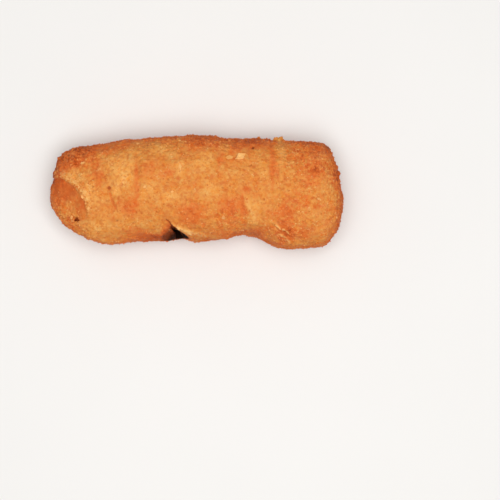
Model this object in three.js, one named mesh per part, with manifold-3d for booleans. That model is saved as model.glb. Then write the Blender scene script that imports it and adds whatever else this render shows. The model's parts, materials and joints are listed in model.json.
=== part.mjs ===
// A fried spring roll, lying on its flat underside: one solid, built up in the layers that the cook folds.
//
// The filled wrapper is a rounded bar. Its two ends are tucked in, so the outer wrap stops short of each
// end and leaves an open step there. The last corner of the wrapper is a flap over the front. Its edge runs
// slantwise round the side, and the crust has split open under it. Crisp crumbs stick to the crust.
//
// Millimetres, +Z up. +X runs along the roll, from the pointed end to the blunt end, and +Y is the back.
// The origin is under the middle of the roll, on the surface that it rests on.

import * as THREE from "three";
import { ImprovedNoise } from "three/addons/math/ImprovedNoise.js";
import { mergeVertices } from "three/addons/utils/BufferGeometryUtils.js";
import Module from "manifold-3d";

const wasm = await Module();
wasm.setup();

// ---- Driving dimensions ----

const LENGTH = 112;
const HEIGHT = 34;
const WRAP = 0.8; // one layer of crisp wrapper with its crust
const INNER_DEPTH = 1.52; // how far the innermost visible layer lies under the outer wrap

const LEFT = -LENGTH / 2;
const RIGHT = LENGTH / 2;
const AXIS_HEIGHT = 0.45 * HEIGHT;
const SINK = 1.7; // the round underside that the resting weight has pressed flat

// The long edges seen from above, and the top seen from the front: points that smooth curves pass through.
const BACK_EDGE = [
  [LEFT, 16.4],
  [-44, 17.9],
  [-36, 18.7],
  [-28, 19.5],
  [-13, 21.4],
  [5.5, 21.4],
  [10.5, 20.2],
  [22, 20.3],
  [42, 19.6],
  [RIGHT, 19.2],
];
const FRONT_EDGE = [
  [LEFT, -18.4],
  [-41, -18.0],
  [-32, -19.7],
  [-21, -17.7],
  [-4, -17.3],
  [8, -18.2],
  [19, -16.9],
  [31, -20.6],
  [40, -21.4],
  [RIGHT, -19.8],
];
const TOP_EDGE = [
  [LEFT, 0.84 * HEIGHT],
  [-38, 0.91 * HEIGHT],
  [-16, 0.98 * HEIGHT],
  [4, HEIGHT],
  [24, 0.96 * HEIGHT],
  [40, 0.99 * HEIGHT],
  [RIGHT, 0.95 * HEIGHT],
];

// How far from each tip the rounding reaches, and how square it is: 2 is round, and more is squarer.
// The blunt end is bowed too: pushed forward a little, and bowed back on both sides of an apex.
const LEFT_END = { reach: 20, reachUp: 25, back: 3.1, front: 1.78, up: 2.1 };
const RIGHT_END = { reach: 6.5, reachUp: 11, back: 3.2, front: 2.1, up: 2.2 };
const RIGHT_BOW = { apexY: -3, radius: 46, forward: 0.75, reach: 18 };
const SECTION_SQUARENESS = { above: 2.35, below: 2.8 };

// Crust relief, from broad dents down to coarse crumb: the size of a lump, and how far it stands out.
const LUMPS = [
  { size: 24, rise: 0.85 },
  { size: 9.5, rise: 0.45 },
  { size: 4.2, rise: 0.26 },
];

// Creases and ridges of the wrapper that run across the roll. Each is x at y = 0, the lean in x for each
// millimetre of y, the stretch of y that it covers, its width and its rise, which is negative for a crease.
// They run out softly at their ends, and over a height below which the sides stay smooth.
const WRINKLE_FADE = { end: 2, side: 6 };
const WRINKLES = [
  { x: -37.0, lean: -0.1, from: 1, to: 17, width: 1.7, rise: -0.45 },
  { x: -31.9, lean: -0.31, from: -7, to: 12, width: 1.6, rise: -0.55 },
  { x: -21.0, lean: -0.11, from: -10, to: 17, width: 2.1, rise: -0.4 },
  { x: 4.6, lean: 0.3, from: 8, to: 22, width: 2.2, rise: -0.5 },
  { x: 18.7, lean: -0.22, from: -14, to: 5, width: 1.7, rise: 0.6 },
  { x: 30.1, lean: 0.03, from: 0, to: 22, width: 2.0, rise: -0.5 },
  { x: 9.7, lean: -1.59, from: -17.5, to: -12, width: 1.7, rise: -0.6 },
];

// Broad dents and swells: the centre, the radii along X, Y and Z, and the rise.
const SWELLS = [
  { at: [22.5, -19, 20], radii: [9, 7, 11], rise: -1.6 },
  { at: [31, -21, 7], radii: [12, 8, 7], rise: 1.1 },
  { at: [-18, -19, 12], radii: [12, 8, 10], rise: 0.9 },
  { at: [-46, -11, 24], radii: [8, 7, 8], rise: -0.7 },
  { at: [-50, 13.5, 17], radii: [6, 6, 13], rise: 0.7 },
  { at: [-57, 8.5, 16], radii: [4, 4.5, 13], rise: -2.4 },
  { at: [-55, -4, 16], radii: [5, 8, 12], rise: 0.8 },
  { at: [56, 10.5, 19], radii: [5, 5.5, 12], rise: -2.4 },
];

// The tucked left end shows inside an arc, seen from above. The blunt end shows its tuck inside an oval.
const LEFT_TUCK = { centre: [-55.1, -8.8], radius: 15.4, chordTo: [-44.7, -11] };
const RIGHT_TUCK = { centre: [0.4, 16.5], radii: [12.6, 9.4], foldTilt: 0.42 };
const TUCK_LIP = { rise: 0.5, width: 3.4 };

// The last corner of the wrapper. Its edge starts at the tip and slants down the front of the roll.
const FLAP = {
  tip: [-10.3, -11.1, 28],
  foot: [-1.9, -17.9, 15],
  under: [7.5, -13, 0],
  rise: 0.95,
  fade: 13,
};

// The split under the flap. Its far wall is given from the flap's tip, seen from above: two points down the
// front, then the two that bend it out of the roll.
const SPLIT = {
  wall: [[1.4, -2.3], [2.3, -3.8]],
  bend: [[2.7, -6.2], [-0.6, -7.6]],
  mouth: 17,
  floor: 13,
  lean: 1.6,
  narrowing: 0.6,
};

// The coarsest crumbs: where each lies along the roll and round it, in degrees up from the back, and its
// size. Each is a flattened grain, and a little more than half of it stands out of the crust.
const CRUMB_FORM = { stretch: [1.25, 0.9, 0.75], lift: 0.15 };
const CRUMBS = [
  { x: 31.7, angle: 16, size: 2.3 },
  { x: 29.2, angle: 22, size: 1.5 },
  { x: 35.0, angle: 14, size: 1.4 },
  { x: 54.0, angle: 12, size: 1.5 },
  { x: 17.2, angle: 55, size: 1.9 },
  { x: -6.3, angle: 64, size: 1.4 },
  { x: -46.4, angle: 142, size: 1.5 },
  { x: 33.6, angle: 150, size: 1.6 },
];

// Faces along the roll and around it, and the factor that brings all corners at a tip to the one point.
const ALONG = 68;
const AROUND = 60;
const POLE_SNAP = 1.000001;

// ---- The form of the roll ----

const noise = new ImprovedNoise();
const { smoothstep } = THREE.MathUtils;
const bell = (distance, width) => Math.exp(-((distance / width) ** 2));

// A smooth curve y(x) through the points.
function curveThrough(points) {
  const xs = points.map(([x]) => x);
  const curve = new THREE.CubicInterpolant(xs, points.map(([, y]) => y), 1);
  return (x) => curve.evaluate(THREE.MathUtils.clamp(x, xs[0], xs.at(-1)))[0];
}

const backEdge = curveThrough(BACK_EDGE);
const frontEdge = curveThrough(FRONT_EDGE);
const topEdge = curveThrough(TOP_EDGE);

// How much of the full section is left at x, from 0 at a tip to 1 past the rounding of that end.
function endScale(x, side) {
  const end = x < 0 ? LEFT_END : RIGHT_END;
  const reach = side === "up" ? end.reachUp : end.reach;
  const fromTip = Math.max(0, x < 0 ? x - LEFT : RIGHT - x);
  const inward = Math.max(0, 1 - fromTip / reach);
  const squareness = end[side];
  return (1 - inward ** squareness) ** (1 / squareness);
}

// The blunt end's face, bowed back from its apex on both sides.
function bowed(p) {
  const nearEnd = smoothstep(p.x, RIGHT - RIGHT_BOW.reach, RIGHT);
  const back = (p.y - RIGHT_BOW.apexY) ** 2 / (2 * RIGHT_BOW.radius);
  p.x += nearEnd * (RIGHT_BOW.forward - back);
  return p;
}

// The point of the plain form at x, at an angle round the axis: 0 is the back, a quarter turn is the top.
function formPoint(x, angle) {
  const middle = (backEdge(x) + frontEdge(x)) / 2;
  const across = Math.cos(angle);
  const up = Math.sin(angle);
  const side = across > 0 ? "back" : "front";
  const halfWidth = ((backEdge(x) - frontEdge(x)) / 2) * endScale(x, side);
  const halfHeight = (up > 0 ? topEdge(x) - AXIS_HEIGHT : AXIS_HEIGHT + SINK) * endScale(x, "up");
  const n = up > 0 ? SECTION_SQUARENESS.above : SECTION_SQUARENESS.below;
  if (halfWidth < 1e-6 || halfHeight < 1e-6) return new THREE.Vector3(x, middle, AXIS_HEIGHT);
  const r = (Math.abs(across / halfWidth) ** n + Math.abs(up / halfHeight) ** n) ** (-1 / n);
  return bowed(new THREE.Vector3(x, middle + r * across, AXIS_HEIGHT + r * up));
}

// The way out of the roll at a point: away from the nearest point of its spine.
function outward(p) {
  const x = THREE.MathUtils.clamp(p.x, LEFT + LEFT_END.reach, RIGHT - RIGHT_END.reach);
  const spine = new THREE.Vector3(x, (backEdge(x) + frontEdge(x)) / 2, AXIS_HEIGHT);
  return p.clone().sub(spine).normalize();
}

function lumps(p) {
  const at = (size) => noise.noise(p.x / size, p.y / size + size, p.z / size);
  return LUMPS.reduce((sum, { size, rise }) => sum + rise * at(size), 0);
}

function wrinkles(p) {
  const { end, side } = WRINKLE_FADE;
  const above = smoothstep(p.z, AXIS_HEIGHT - side, AXIS_HEIGHT);
  return WRINKLES.reduce((sum, w) => {
    const starts = smoothstep(p.y, w.from - end, w.from + end);
    const ends = starts * (1 - smoothstep(p.y, w.to - end, w.to + end));
    return sum + w.rise * above * ends * bell(p.x - w.x - w.lean * p.y, w.width);
  }, 0);
}

function swells(p) {
  return SWELLS.reduce((sum, { at, radii, rise }) => {
    const [x, y, z] = at.map((c, i) => (p.getComponent(i) - c) / radii[i]);
    return sum + rise * Math.exp(-(x * x + y * y + z * z));
  }, 0);
}

// The outer wrap turns up a little where it stops, round the tucked left end.
function tuckLip(p) {
  const [x, y] = LEFT_TUCK.centre;
  const fromArc = Math.hypot(p.x - x, p.y - y) - LEFT_TUCK.radius;
  return TUCK_LIP.rise * bell(fromArc, TUCK_LIP.width) * smoothstep(p.y, y - 1, y + 3);
}

const relief = (p) => lumps(p) + wrinkles(p) + swells(p) + tuckLip(p);

// ---- Solids ----

function solidOf(geometry) {
  const bare = geometry.clone();
  bare.deleteAttribute("normal");
  bare.deleteAttribute("uv");
  const merged = mergeVertices(bare, 1e-4);
  return new wasm.Manifold(
    new wasm.Mesh({
      numProp: 3,
      vertProperties: new Float32Array(merged.attributes.position.array),
      triVerts: new Uint32Array(merged.index.array),
    }),
  );
}

function geometryOf(solid) {
  const mesh = solid.getMesh();
  return new THREE.BufferGeometry()
    .setAttribute("position", new THREE.BufferAttribute(mesh.vertProperties, 3))
    .setIndex(new THREE.BufferAttribute(mesh.triVerts, 1));
}

function eachVertex(geometry, change) {
  const places = geometry.attributes.position;
  const p = new THREE.Vector3();
  for (let i = 0; i < places.count; i++) {
    places.setXYZ(i, ...change(p.fromBufferAttribute(places, i)).toArray());
  }
  return geometry;
}

// The whole roll, with its surface moved out by lift(p) from the crust, or in where that is negative.
function rollSolid(lift) {
  const ball = new THREE.SphereGeometry(1, AROUND, ALONG).rotateZ(Math.PI / 2);
  eachVertex(ball, (unit) => {
    const x = THREE.MathUtils.clamp(unit.x * POLE_SNAP, -1, 1) * RIGHT;
    const p = formPoint(x, Math.atan2(unit.z, unit.y));
    return p.clone().addScaledVector(outward(p), relief(p) + lift(p));
  });
  return solidOf(ball);
}

// The space seen from above in which the left end's outer wrap is open.
function leftTuckSpace() {
  const { centre, radius, chordTo } = LEFT_TUCK;
  const outline = new THREE.Shape();
  outline.absarc(...centre, radius, 0, 0.75 * Math.PI);
  outline.lineTo(LEFT - radius, centre[1]);
  outline.lineTo(...chordTo);
  const upright = { depth: 2 * HEIGHT, bevelEnabled: false, curveSegments: 16 };
  const space = new THREE.ExtrudeGeometry(outline, upright);
  return solidOf(space.translate(0, 0, -HEIGHT / 2));
}

// The space seen from the blunt end in which its outer wrap is open.
function rightTuckSpace([radiusY, radiusZ]) {
  const space = new THREE.CylinderGeometry(1, 1, 2 * RIGHT_END.reach, 28).rotateZ(Math.PI / 2);
  const [y, z] = RIGHT_TUCK.centre;
  return solidOf(space.scale(1, radiusY, radiusZ).translate(RIGHT, y, z));
}

// The lower half of that space, under the slanting fold of the second side flap.
function underRightFold() {
  const side = 2 * RIGHT_TUCK.radii[0];
  const [y, z] = RIGHT_TUCK.centre;
  const half = new THREE.BoxGeometry(2 * RIGHT_END.reach, 2 * side, side).translate(0, 0, -side / 2);
  return solidOf(half.rotateX(RIGHT_TUCK.foldTilt).translate(RIGHT, y, z));
}

// How far a point is past the flap's edge, seen from the front and above: positive on the flap.
const flapTip = new THREE.Vector3(...FLAP.tip);
const flapFoot = new THREE.Vector3(...FLAP.foot);
const flapUnder = new THREE.Vector3(...FLAP.under);
function pastFlapEdge(p) {
  const edgeX = p.z > flapFoot.z
    ? THREE.MathUtils.mapLinear(p.z, flapTip.z, flapFoot.z, flapTip.x, flapFoot.x)
    : THREE.MathUtils.mapLinear(p.z, flapFoot.z, flapUnder.z, flapFoot.x, flapUnder.x);
  return p.x - edgeX;
}

function flapLift(p) {
  const past = pastFlapEdge(p);
  const onFront = 1 - smoothstep(p.y, FLAP.tip[1] - 2, FLAP.tip[1] + 3);
  const held = 1 - smoothstep(past, 0, FLAP.fade);
  return FLAP.rise * (2 * onFront * held - 1);
}

// Everything past the flap's edge, as a wall that leans with the edge. Above the foot it also stays on the
// flap's side of the straight line from tip to foot, seen from above.
function flapSpace() {
  const depth = 2 * HEIGHT;
  const space = new THREE.BoxGeometry(2 * FLAP.fade, depth, depth, 1, 1, 8);
  space.translate(FLAP.fade, flapFoot.y, 0);
  const past = solidOf(eachVertex(space, (p) => {
    const level = p.z + AXIS_HEIGHT;
    const edge = -pastFlapEdge(new THREE.Vector3(0, 0, level));
    return new THREE.Vector3(p.x + edge, p.y, level);
  }));
  const before = new THREE.Shape();
  before.moveTo(flapTip.x, flapTip.y);
  before.lineTo(flapFoot.x, flapFoot.y);
  before.lineTo(flapFoot.x, -HEIGHT);
  before.lineTo(LEFT, -HEIGHT);
  before.lineTo(LEFT, flapTip.y);
  const upright = { depth: HEIGHT, bevelEnabled: false };
  return past.subtract(solidOf(new THREE.ExtrudeGeometry(before, upright).translate(0, 0, flapFoot.z)));
}

// The split under the flap: a wedge seen from above, between the flap's edge and a wall that rounds off.
// Lower down it leans with the flap's edge and narrows, until it closes at its floor.
function splitSpace() {
  const foot = [FLAP.foot[0] - FLAP.tip[0], FLAP.foot[1] - FLAP.tip[1]];
  const bent = SPLIT.bend[1];
  const outline = new THREE.Shape();
  outline.moveTo(0, 0);
  for (const corner of SPLIT.wall) outline.lineTo(...corner);
  outline.quadraticCurveTo(...SPLIT.bend[0], ...bent);
  outline.lineTo(bent[0], -SPLIT.mouth);
  outline.lineTo(foot[0], -SPLIT.mouth);
  outline.lineTo(...foot);
  const upright = { depth: HEIGHT, steps: 12, bevelEnabled: false, curveSegments: 6 };
  return solidOf(eachVertex(new THREE.ExtrudeGeometry(outline, upright), (p) => {
    const level = p.z + SPLIT.floor;
    const down = Math.max(0, flapTip.z - level) / (flapTip.z - SPLIT.floor);
    const narrow = 1 - SPLIT.narrowing * down ** 3;
    return new THREE.Vector3(flapTip.x + p.x * narrow + SPLIT.lean * down * down, flapTip.y + p.y, level);
  }));
}

// A crumb is a rough many-sided grain, sunk into the crust by nearly half.
function crumbSolid({ x, angle, size }) {
  const p = formPoint(x, THREE.MathUtils.degToRad(angle));
  const out = outward(p);
  p.addScaledVector(out, relief(p) + CRUMB_FORM.lift * size);
  const grain = new THREE.IcosahedronGeometry(size / 2, 0).scale(...CRUMB_FORM.stretch);
  return solidOf(grain.rotateZ(x).rotateX(angle).translate(p.x, p.y, p.z));
}

function springRoll() {
  const rightTuck = rightTuckSpace(RIGHT_TUCK.radii);
  const outerWrap = rollSolid(() => 0).subtract(leftTuckSpace().add(rightTuck));
  const sideFlap = rollSolid(() => -WRAP).subtract(rightTuck.intersect(underRightFold()));
  const innerWrap = rollSolid(() => -INNER_DEPTH);
  const flap = rollSolid(flapLift).intersect(flapSpace());
  let roll = outerWrap.add(sideFlap).add(innerWrap).add(flap).subtract(splitSpace());
  for (const crumb of CRUMBS) roll = roll.add(crumbSolid(crumb));
  const underside = new THREE.BoxGeometry(2 * LENGTH, LENGTH, HEIGHT).translate(0, 0, -HEIGHT / 2);
  return roll.subtract(solidOf(underside));
}

// The origin goes under the middle of the finished roll.
function centred(geometry) {
  geometry.computeBoundingBox();
  const middle = geometry.boundingBox.getCenter(new THREE.Vector3());
  return geometry.translate(-middle.x, -middle.y, -geometry.boundingBox.min.z);
}

const friedCrust = new THREE.MeshStandardMaterial({ color: 0xd98a3e, roughness: 0.6, metalness: 0 });
const rollMesh = new THREE.Mesh(centred(geometryOf(springRoll())), friedCrust);
rollMesh.name = "spring_roll";

const part = new THREE.Group();
part.add(rollMesh);

export default part;
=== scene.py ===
"""Models and finishes a crumbed, deep-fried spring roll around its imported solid, and sets the stage for it.

The file is laid out as an add-on: sizes and colours are properties, each piece has an operator, and main()
runs them in order. Lengths are metres in properties and meshes, and millimetres inside node trees.
"""

import json
import math

import bpy
from bpy.props import FloatProperty, FloatVectorProperty, IntProperty, PointerProperty
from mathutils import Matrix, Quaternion, Vector

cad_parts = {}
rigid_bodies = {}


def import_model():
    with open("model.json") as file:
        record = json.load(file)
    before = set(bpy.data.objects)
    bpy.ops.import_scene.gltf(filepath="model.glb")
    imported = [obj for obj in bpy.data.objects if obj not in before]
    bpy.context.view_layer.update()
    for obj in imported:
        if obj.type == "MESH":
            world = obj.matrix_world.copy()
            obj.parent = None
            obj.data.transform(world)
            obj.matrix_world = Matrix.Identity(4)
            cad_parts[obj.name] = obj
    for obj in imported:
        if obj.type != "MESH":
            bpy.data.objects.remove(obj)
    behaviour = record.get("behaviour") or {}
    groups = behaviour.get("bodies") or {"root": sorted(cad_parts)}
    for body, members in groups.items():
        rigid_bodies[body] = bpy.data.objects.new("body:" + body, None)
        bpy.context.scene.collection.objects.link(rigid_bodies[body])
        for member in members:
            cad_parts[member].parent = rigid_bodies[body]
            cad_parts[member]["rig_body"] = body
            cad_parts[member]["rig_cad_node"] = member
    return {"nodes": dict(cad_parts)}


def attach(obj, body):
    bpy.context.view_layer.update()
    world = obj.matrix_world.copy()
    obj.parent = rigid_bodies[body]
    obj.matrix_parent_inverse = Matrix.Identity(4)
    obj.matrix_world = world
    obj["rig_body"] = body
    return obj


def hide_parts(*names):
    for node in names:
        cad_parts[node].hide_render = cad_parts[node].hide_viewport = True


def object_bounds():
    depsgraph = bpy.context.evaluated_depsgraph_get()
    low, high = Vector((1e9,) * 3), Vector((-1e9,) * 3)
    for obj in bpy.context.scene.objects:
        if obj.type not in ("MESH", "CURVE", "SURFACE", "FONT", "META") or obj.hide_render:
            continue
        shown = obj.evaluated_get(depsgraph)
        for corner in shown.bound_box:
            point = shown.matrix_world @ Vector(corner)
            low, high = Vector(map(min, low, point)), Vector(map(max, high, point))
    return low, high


bl_info = {
    "name": "Fried Spring Roll",
    "version": (1, 0, 0),
    "blender": (4, 5, 0),
    "location": "3D View > Sidebar > Spring Roll",
    "description": "Models a crumbed, deep-fried spring roll",
    "category": "Mesh",
}

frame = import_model()
CAD_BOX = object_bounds()

ROLL = "spring_roll"
BODY = "root"
MM = 0.001
MID_HEIGHT = (CAD_BOX[0].z + CAD_BOX[1].z) / 2


def srgb(code):
    """The linear colour of a six-figure display colour code."""
    parts = [int(code[i : i + 2], 16) / 255 for i in (0, 2, 4)]
    return tuple(((p + 0.055) / 1.055) ** 2.4 if p > 0.04045 else p / 12.92 for p in parts)


# ---- Places on the roll, in millimetres from this origin, that the relief and the browning share ----

ORIGIN = (-0.33, 0.13)

# The end that is tucked in: the arc of its lip with its rise, and the crumbly disc inside the smooth band
# along it, with the band's depth. The lip and the band fade in from the end between two values of x.
TUCK_CENTRE = (-54.84, -9.3)
TUCK_LIP = 15.2
TUCK_LIP_RISE = 0.35
TUCK_LIP_FADE = (-57.0, -52.5)
TUCK_DISC = (-49.9, -8.9)
TUCK_DISC_RADIUS = 5.6
TUCK_BAND_DEPTH = 0.3
TUCK_BAND_FADE = (-52.0, -47.5)

# The split under the flap: its tip with its height, how it leans and narrows down to its floor, how far it
# spreads for each millimetre out from its tip, on its bulging wall and under the flap, and how far out it
# starts and ends.
SPLIT_TIP = (-10.04, -11.6, 28.0)
SPLIT_FLOOR = 13.0
SPLIT_LEAN = 1.6
SPLIT_NARROWING = 0.6
SPLIT_WALL_SPREAD = 0.8
SPLIT_WALL_BULGE = 0.07
SPLIT_FLAP_SPREAD = 1.235
SPLIT_START = (1.6, 3.2)
SPLIT_END = (13.0, 11.0)

# Heights between which what is listed fades in: relief and spots, tones, and those by the split.
RELIEF_HEIGHTS = (6.0, 14.0)
TONE_HEIGHTS = (7.0, 17.0)
SPLIT_TONE_HEIGHTS = (13.0, 22.0)
# Heights between which the painted shade by the split fades in.
SPLIT_SHADE_HEIGHTS = (11.0, 15.0)

# Where the roll browned all along: from where to where across, and how much.
BROWN_BACK = ((15.5, 21.5), 0.4)
BROWN_TUCKED_END = ((-44.0, -57.0), 0.35)
BROWN_BLUNT_END = ((46.0, 57.0), 0.4)
# The steep sides are browner by this much: partly browning, partly painted shade.
SIDES_BROWNED_AND_SHADED = 0.5
MOST_BROWNED = 0.7
TONE_RANGE = (-1.15, 1.0)

# The rest are places as the camera sees them, at the roll's mid height.

# Where the crust wrinkled: two ends, half the width and the rise, which is negative in a valley.
WRINKLES = (
    ((-40.3, 13.5), (-37.4, 1.9), 2.0, -0.22),
    ((-35.4, 6.5), (-34.0, 3.4), 1.6, -0.25),
    ((-32.7, -0.8), (-30.4, -6.6), 0.85, -0.6),
    ((-31.7, 12.9), (-29.3, -1.2), 3.0, 0.22),
    ((-38.0, -2.0), (-35.0, -12.0), 2.6, 0.2),
    ((-22.5, 14.0), (-22.2, -3.0), 2.0, -0.22),
    ((17.2, 3.4), (18.8, -1.8), 1.4, 0.2),
    ((19.4, -3.2), (22.8, -11.0), 2.4, 0.38),
    ((17.0, -4.0), (18.9, -13.2), 1.6, -0.36),
    ((29.0, 19.5), (29.3, 1.0), 1.6, -0.28),
    ((32.3, 19.7), (32.3, 5.0), 2.4, 0.25),
    ((30.0, -13.2), (36.3, -17.5), 0.55, -0.6),
    ((30.2, -12.4), (35.4, -15.6), 0.8, 0.5),
    ((31.8, -15.9), (35.8, -19.0), 0.8, 0.45),
    ((-9.6, -11.9), (-6.2, -14.0), 0.8, 0.4),
    ((-6.2, -14.0), (-1.5, -15.6), 1.4, 0.55),
    ((-1.5, -15.6), (3.4, -16.4), 1.5, 0.45),
    ((-11.0, -10.9), (-8.8, -13.4), 0.7, -0.95),
    ((-45.8, -10.5), (-44.7, -11.2), 0.8, -1.1),
)
# Small dark pits and blisters that burst: the place, the radius and the depth.
PITS = (
    ((-32.9, 1.5), 0.9, 0.5),
    ((-29.8, -11.0), 0.7, 0.3),
    ((21.9, 16.9), 0.8, 0.4),
    ((-43.5, 3.7), 0.5, 0.3),
)
# Small red spots in the crust: the place and the radius.
BLUSHES = (
    ((-29.3, -2.3), 1.1),
    ((-28.0, 2.7), 0.7),
    ((-6.5, 5.2), 1.0),
    ((-4.0, -1.9), 0.7),
    ((-10.4, -4.9), 0.9),
    ((-22.8, 8.4), 0.8),
    ((-34.0, 4.6), 0.7),
    ((22.4, 9.9), 0.8),
    ((18.4, 8.3), 0.7),
    ((28.9, 4.9), 0.8),
    ((33.4, 1.1), 0.7),
    ((9.7, 3.0), 0.7),
    ((12.6, -4.2), 1.0),
    ((8.6, -8.7), 0.9),
    ((0.9, -6.5), 0.8),
    ((35.0, -5.7), 0.8),
    ((40.7, 2.6), 0.8),
    ((-46.6, -0.6), 1.6),
    ((-49.4, -2.6), 1.1),
    ((-32.9, 1.5), 1.0),
    ((8.4, -11.8), 0.9),
    ((27.8, -7.4), 0.8),
)
# Where the crust is thick with crumb: the centre, the radii and how thick.
CRUMBLY = (
    ((-45.0, 14.0), (11.0, 8.5), 1.0),
    ((-50.5, -10.0), (8.5, 8.5), 1.0),
    ((-44.0, -15.0), (8.0, 5.0), 0.8),
    ((-39.6, 1.0), (4.6, 8.0), 0.7),
    ((42.0, 12.0), (13.0, 10.0), 0.9),
    ((52.0, 0.0), (6.0, 16.0), 0.7),
    ((42.0, -4.0), (9.0, 9.0), 0.7),
    ((35.0, -14.0), (9.0, 7.0), 0.6),
    ((12.0, -9.5), (10.0, 6.0), 0.5),
    ((4.0, 19.5), (32.0, 4.0), 0.5),
)
# How the frying coloured the crust: the centre, the radii, and the tone from -1 for toasted to 1 for golden.
# The long dark patch along the front's lower rim is painted shade.
TONES = (
    ((-46.6, 6.1), (4.2, 3.0), 0.7),
    ((-29.4, 7.6), (6.5, 8.4), 0.55),
    ((-30.6, 1.1), (1.9, 3.8), 0.5),
    ((-39.3, 0.0), (3.0, 6.8), 0.5),
    ((-38.2, -12.6), (7.6, 3.4), 0.5),
    ((-23.0, -11.8), (8.4, 2.7), 0.2),
    ((-15.0, -13.3), (4.9, 3.0), 0.25),
    ((-17.3, 0.4), (5.7, 4.9), 0.4),
    ((-9.3, -1.2), (3.8, 4.2), 0.45),
    ((-5.9, 9.5), (3.0, 3.8), 0.6),
    ((4.0, 11.0), (4.2, 3.8), 0.55),
    ((-12.7, 16.7), (6.1, 3.0), 0.35),
    ((6.7, 0.7), (4.2, 4.6), 0.4),
    ((22.0, -7.2), (2.3, 5.6), 0.6),
    ((25.3, 8.3), (2.3, 3.8), 0.4),
    ((32.5, 16.7), (2.7, 3.8), 0.3),
    ((28.3, -3.1), (5.7, 4.2), 0.1),
    ((51.1, -0.8), (4.6, 3.4), 0.3),
    ((15.0, 6.4), (3.8, 3.0), 0.25),
    ((-46.3, 15.2), (9.5, 6.7), -0.95),
    ((-39.5, 17.2), (6.5, 3.8), -0.3),
    ((-25.0, 13.2), (8.0, 3.8), 0.35),
    ((-53.0, 7.6), (5.3, 9.1), -0.7),
    ((-49.2, 0.4), (5.2, 4.6), -0.5),
    ((-43.4, -4.2), (2.3, 4.2), -0.4),
    ((-50.5, -5.5), (4.6, 4.2), -0.2),
    ((-47.5, -12.0), (7.2, 4.2), -0.45),
    ((-24.6, -5.4), (5.0, 4.6), -0.4),
    ((-22.6, 3.8), (1.5, 10.6), -0.35),
    ((-18.1, 9.1), (4.9, 4.6), -0.25),
    ((-11.2, 6.8), (3.8, 1.9), -0.35),
    ((-1.3, -8.4), (6.8, 5.7), -0.5),
    ((12.3, -6.9), (5.7, 6.8), -0.5),
    ((18.4, -6.1), (1.9, 7.6), -0.35),
    ((3.6, 18.2), (8.4, 4.2), -0.45),
    ((10.1, 12.9), (2.3, 3.4), -0.4),
    ((20.7, 17.8), (9.1, 3.0), -0.55),
    ((29.1, 12.9), (1.9, 8.4), -0.45),
    ((42.8, 15.2), (8.4, 7.6), -0.6),
    ((48.5, 16.5), (5.3, 3.8), -0.35),
    ((1.7, 8.3), (4.2, 4.6), 0.3),
    ((53.0, 10.6), (3.8, 10.6), -0.25),
    ((53.4, 3.4), (3.0, 6.0), -0.3),
    ((42.8, 5.3), (6.1, 5.3), -0.35),
    ((33.6, -8.4), (5.3, 5.7), -0.5),
    ((34.2, -16.7), (4.2, 3.4), -0.7),
    ((25.0, -13.5), (4.2, 3.0), -0.25),
    ((39.0, -3.8), (6.0, 7.0), -0.2),
    ((18.8, -14.8), (3.4, 1.9), 0.3),
    ((8.0, -15.4), (5.0, 2.4), -0.2),
    ((31.7, 8.4), (2.7, 5.3), -0.3),
    ((-53.2, -4.5), (2.8, 7.0), -0.3),
    ((-37.2, 6.8), (3.4, 6.0), -0.35),
    ((-31.7, -1.5), (2.4, 2.4), 0.3),
    ((-21.5, -15.4), (9.0, 2.4), -0.35),
    ((-26.4, 4.5), (3.0, 3.2), 0.4),
    ((34.0, -12.8), (3.6, 3.0), -0.4),
    ((15.0, 15.9), (3.0, 2.6), -0.3),
    ((47.0, 8.6), (3.8, 4.0), -0.5),
    ((-30.6, 16.3), (8.4, 3.0), -0.35),
    # Darker along the front's lower rim: painted shade.
    ((18.8, -16.0), (13.2, 3.0), -0.2),
    ((-17.3, -17.5), (11.4, 2.3), -0.3),
    ((39.7, -15.2), (9.1, 3.8), -0.35),
    ((18.1, 1.5), (3.0, 3.0), -0.25),
)
# The same beside the split, where the crust is browner and carries painted shade, fading sooner down the
# side.
SPLIT_BROWNING_AND_SHADE = (
    ((-9.8, -15.7), (3.3, 3.8), -1.2),
    ((-8.6, -16.8), (1.9, 3.4), -1.2),
    ((-13.7, -17.9), (6.0, 2.3), -0.7),
)
# Painted shade where the crust turns under into the split: the centre, the radii and how dark.
SPLIT_SHADE = (
    ((-8.0, -17.8), (3.6, 3.2), 1.0),
    ((-11.2, -19.0), (3.0, 1.8), 0.4),
)
# Pale flakes that lie loose on top: the place, the turn in degrees, the length, width and thickness, and how
# pale each is.
FLAKES = (
    ((17.0, 13.4), 33, (4.7, 2.6, 0.6), 1.0),
    ((12.9, 12.9), 10, (2.9, 1.9, 0.4), 0.3),
    ((-5.9, 9.5), 95, (3.2, 1.2, 0.4), 0.7),
    ((-19.2, 1.9), 40, (1.4, 1.1, 0.4), 0.8),
    ((-8.9, 0.0), 0, (1.3, 1.0, 0.4), 0.8),
    ((-42.9, -1.8), 110, (1.7, 1.0, 0.5), 0.9),
    ((-41.5, -4.3), 75, (1.2, 0.8, 0.45), 0.6),
    ((-40.5, -6.2), 60, (1.4, 1.1, 0.5), 0.8),
    ((-46.8, -9.7), 70, (1.8, 1.2, 0.5), 0.9),
    ((-48.4, 5.0), 160, (1.5, 0.9, 0.4), 0.5),
    ((-45.4, 3.9), 130, (1.3, 0.8, 0.4), 0.5),
)
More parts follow.
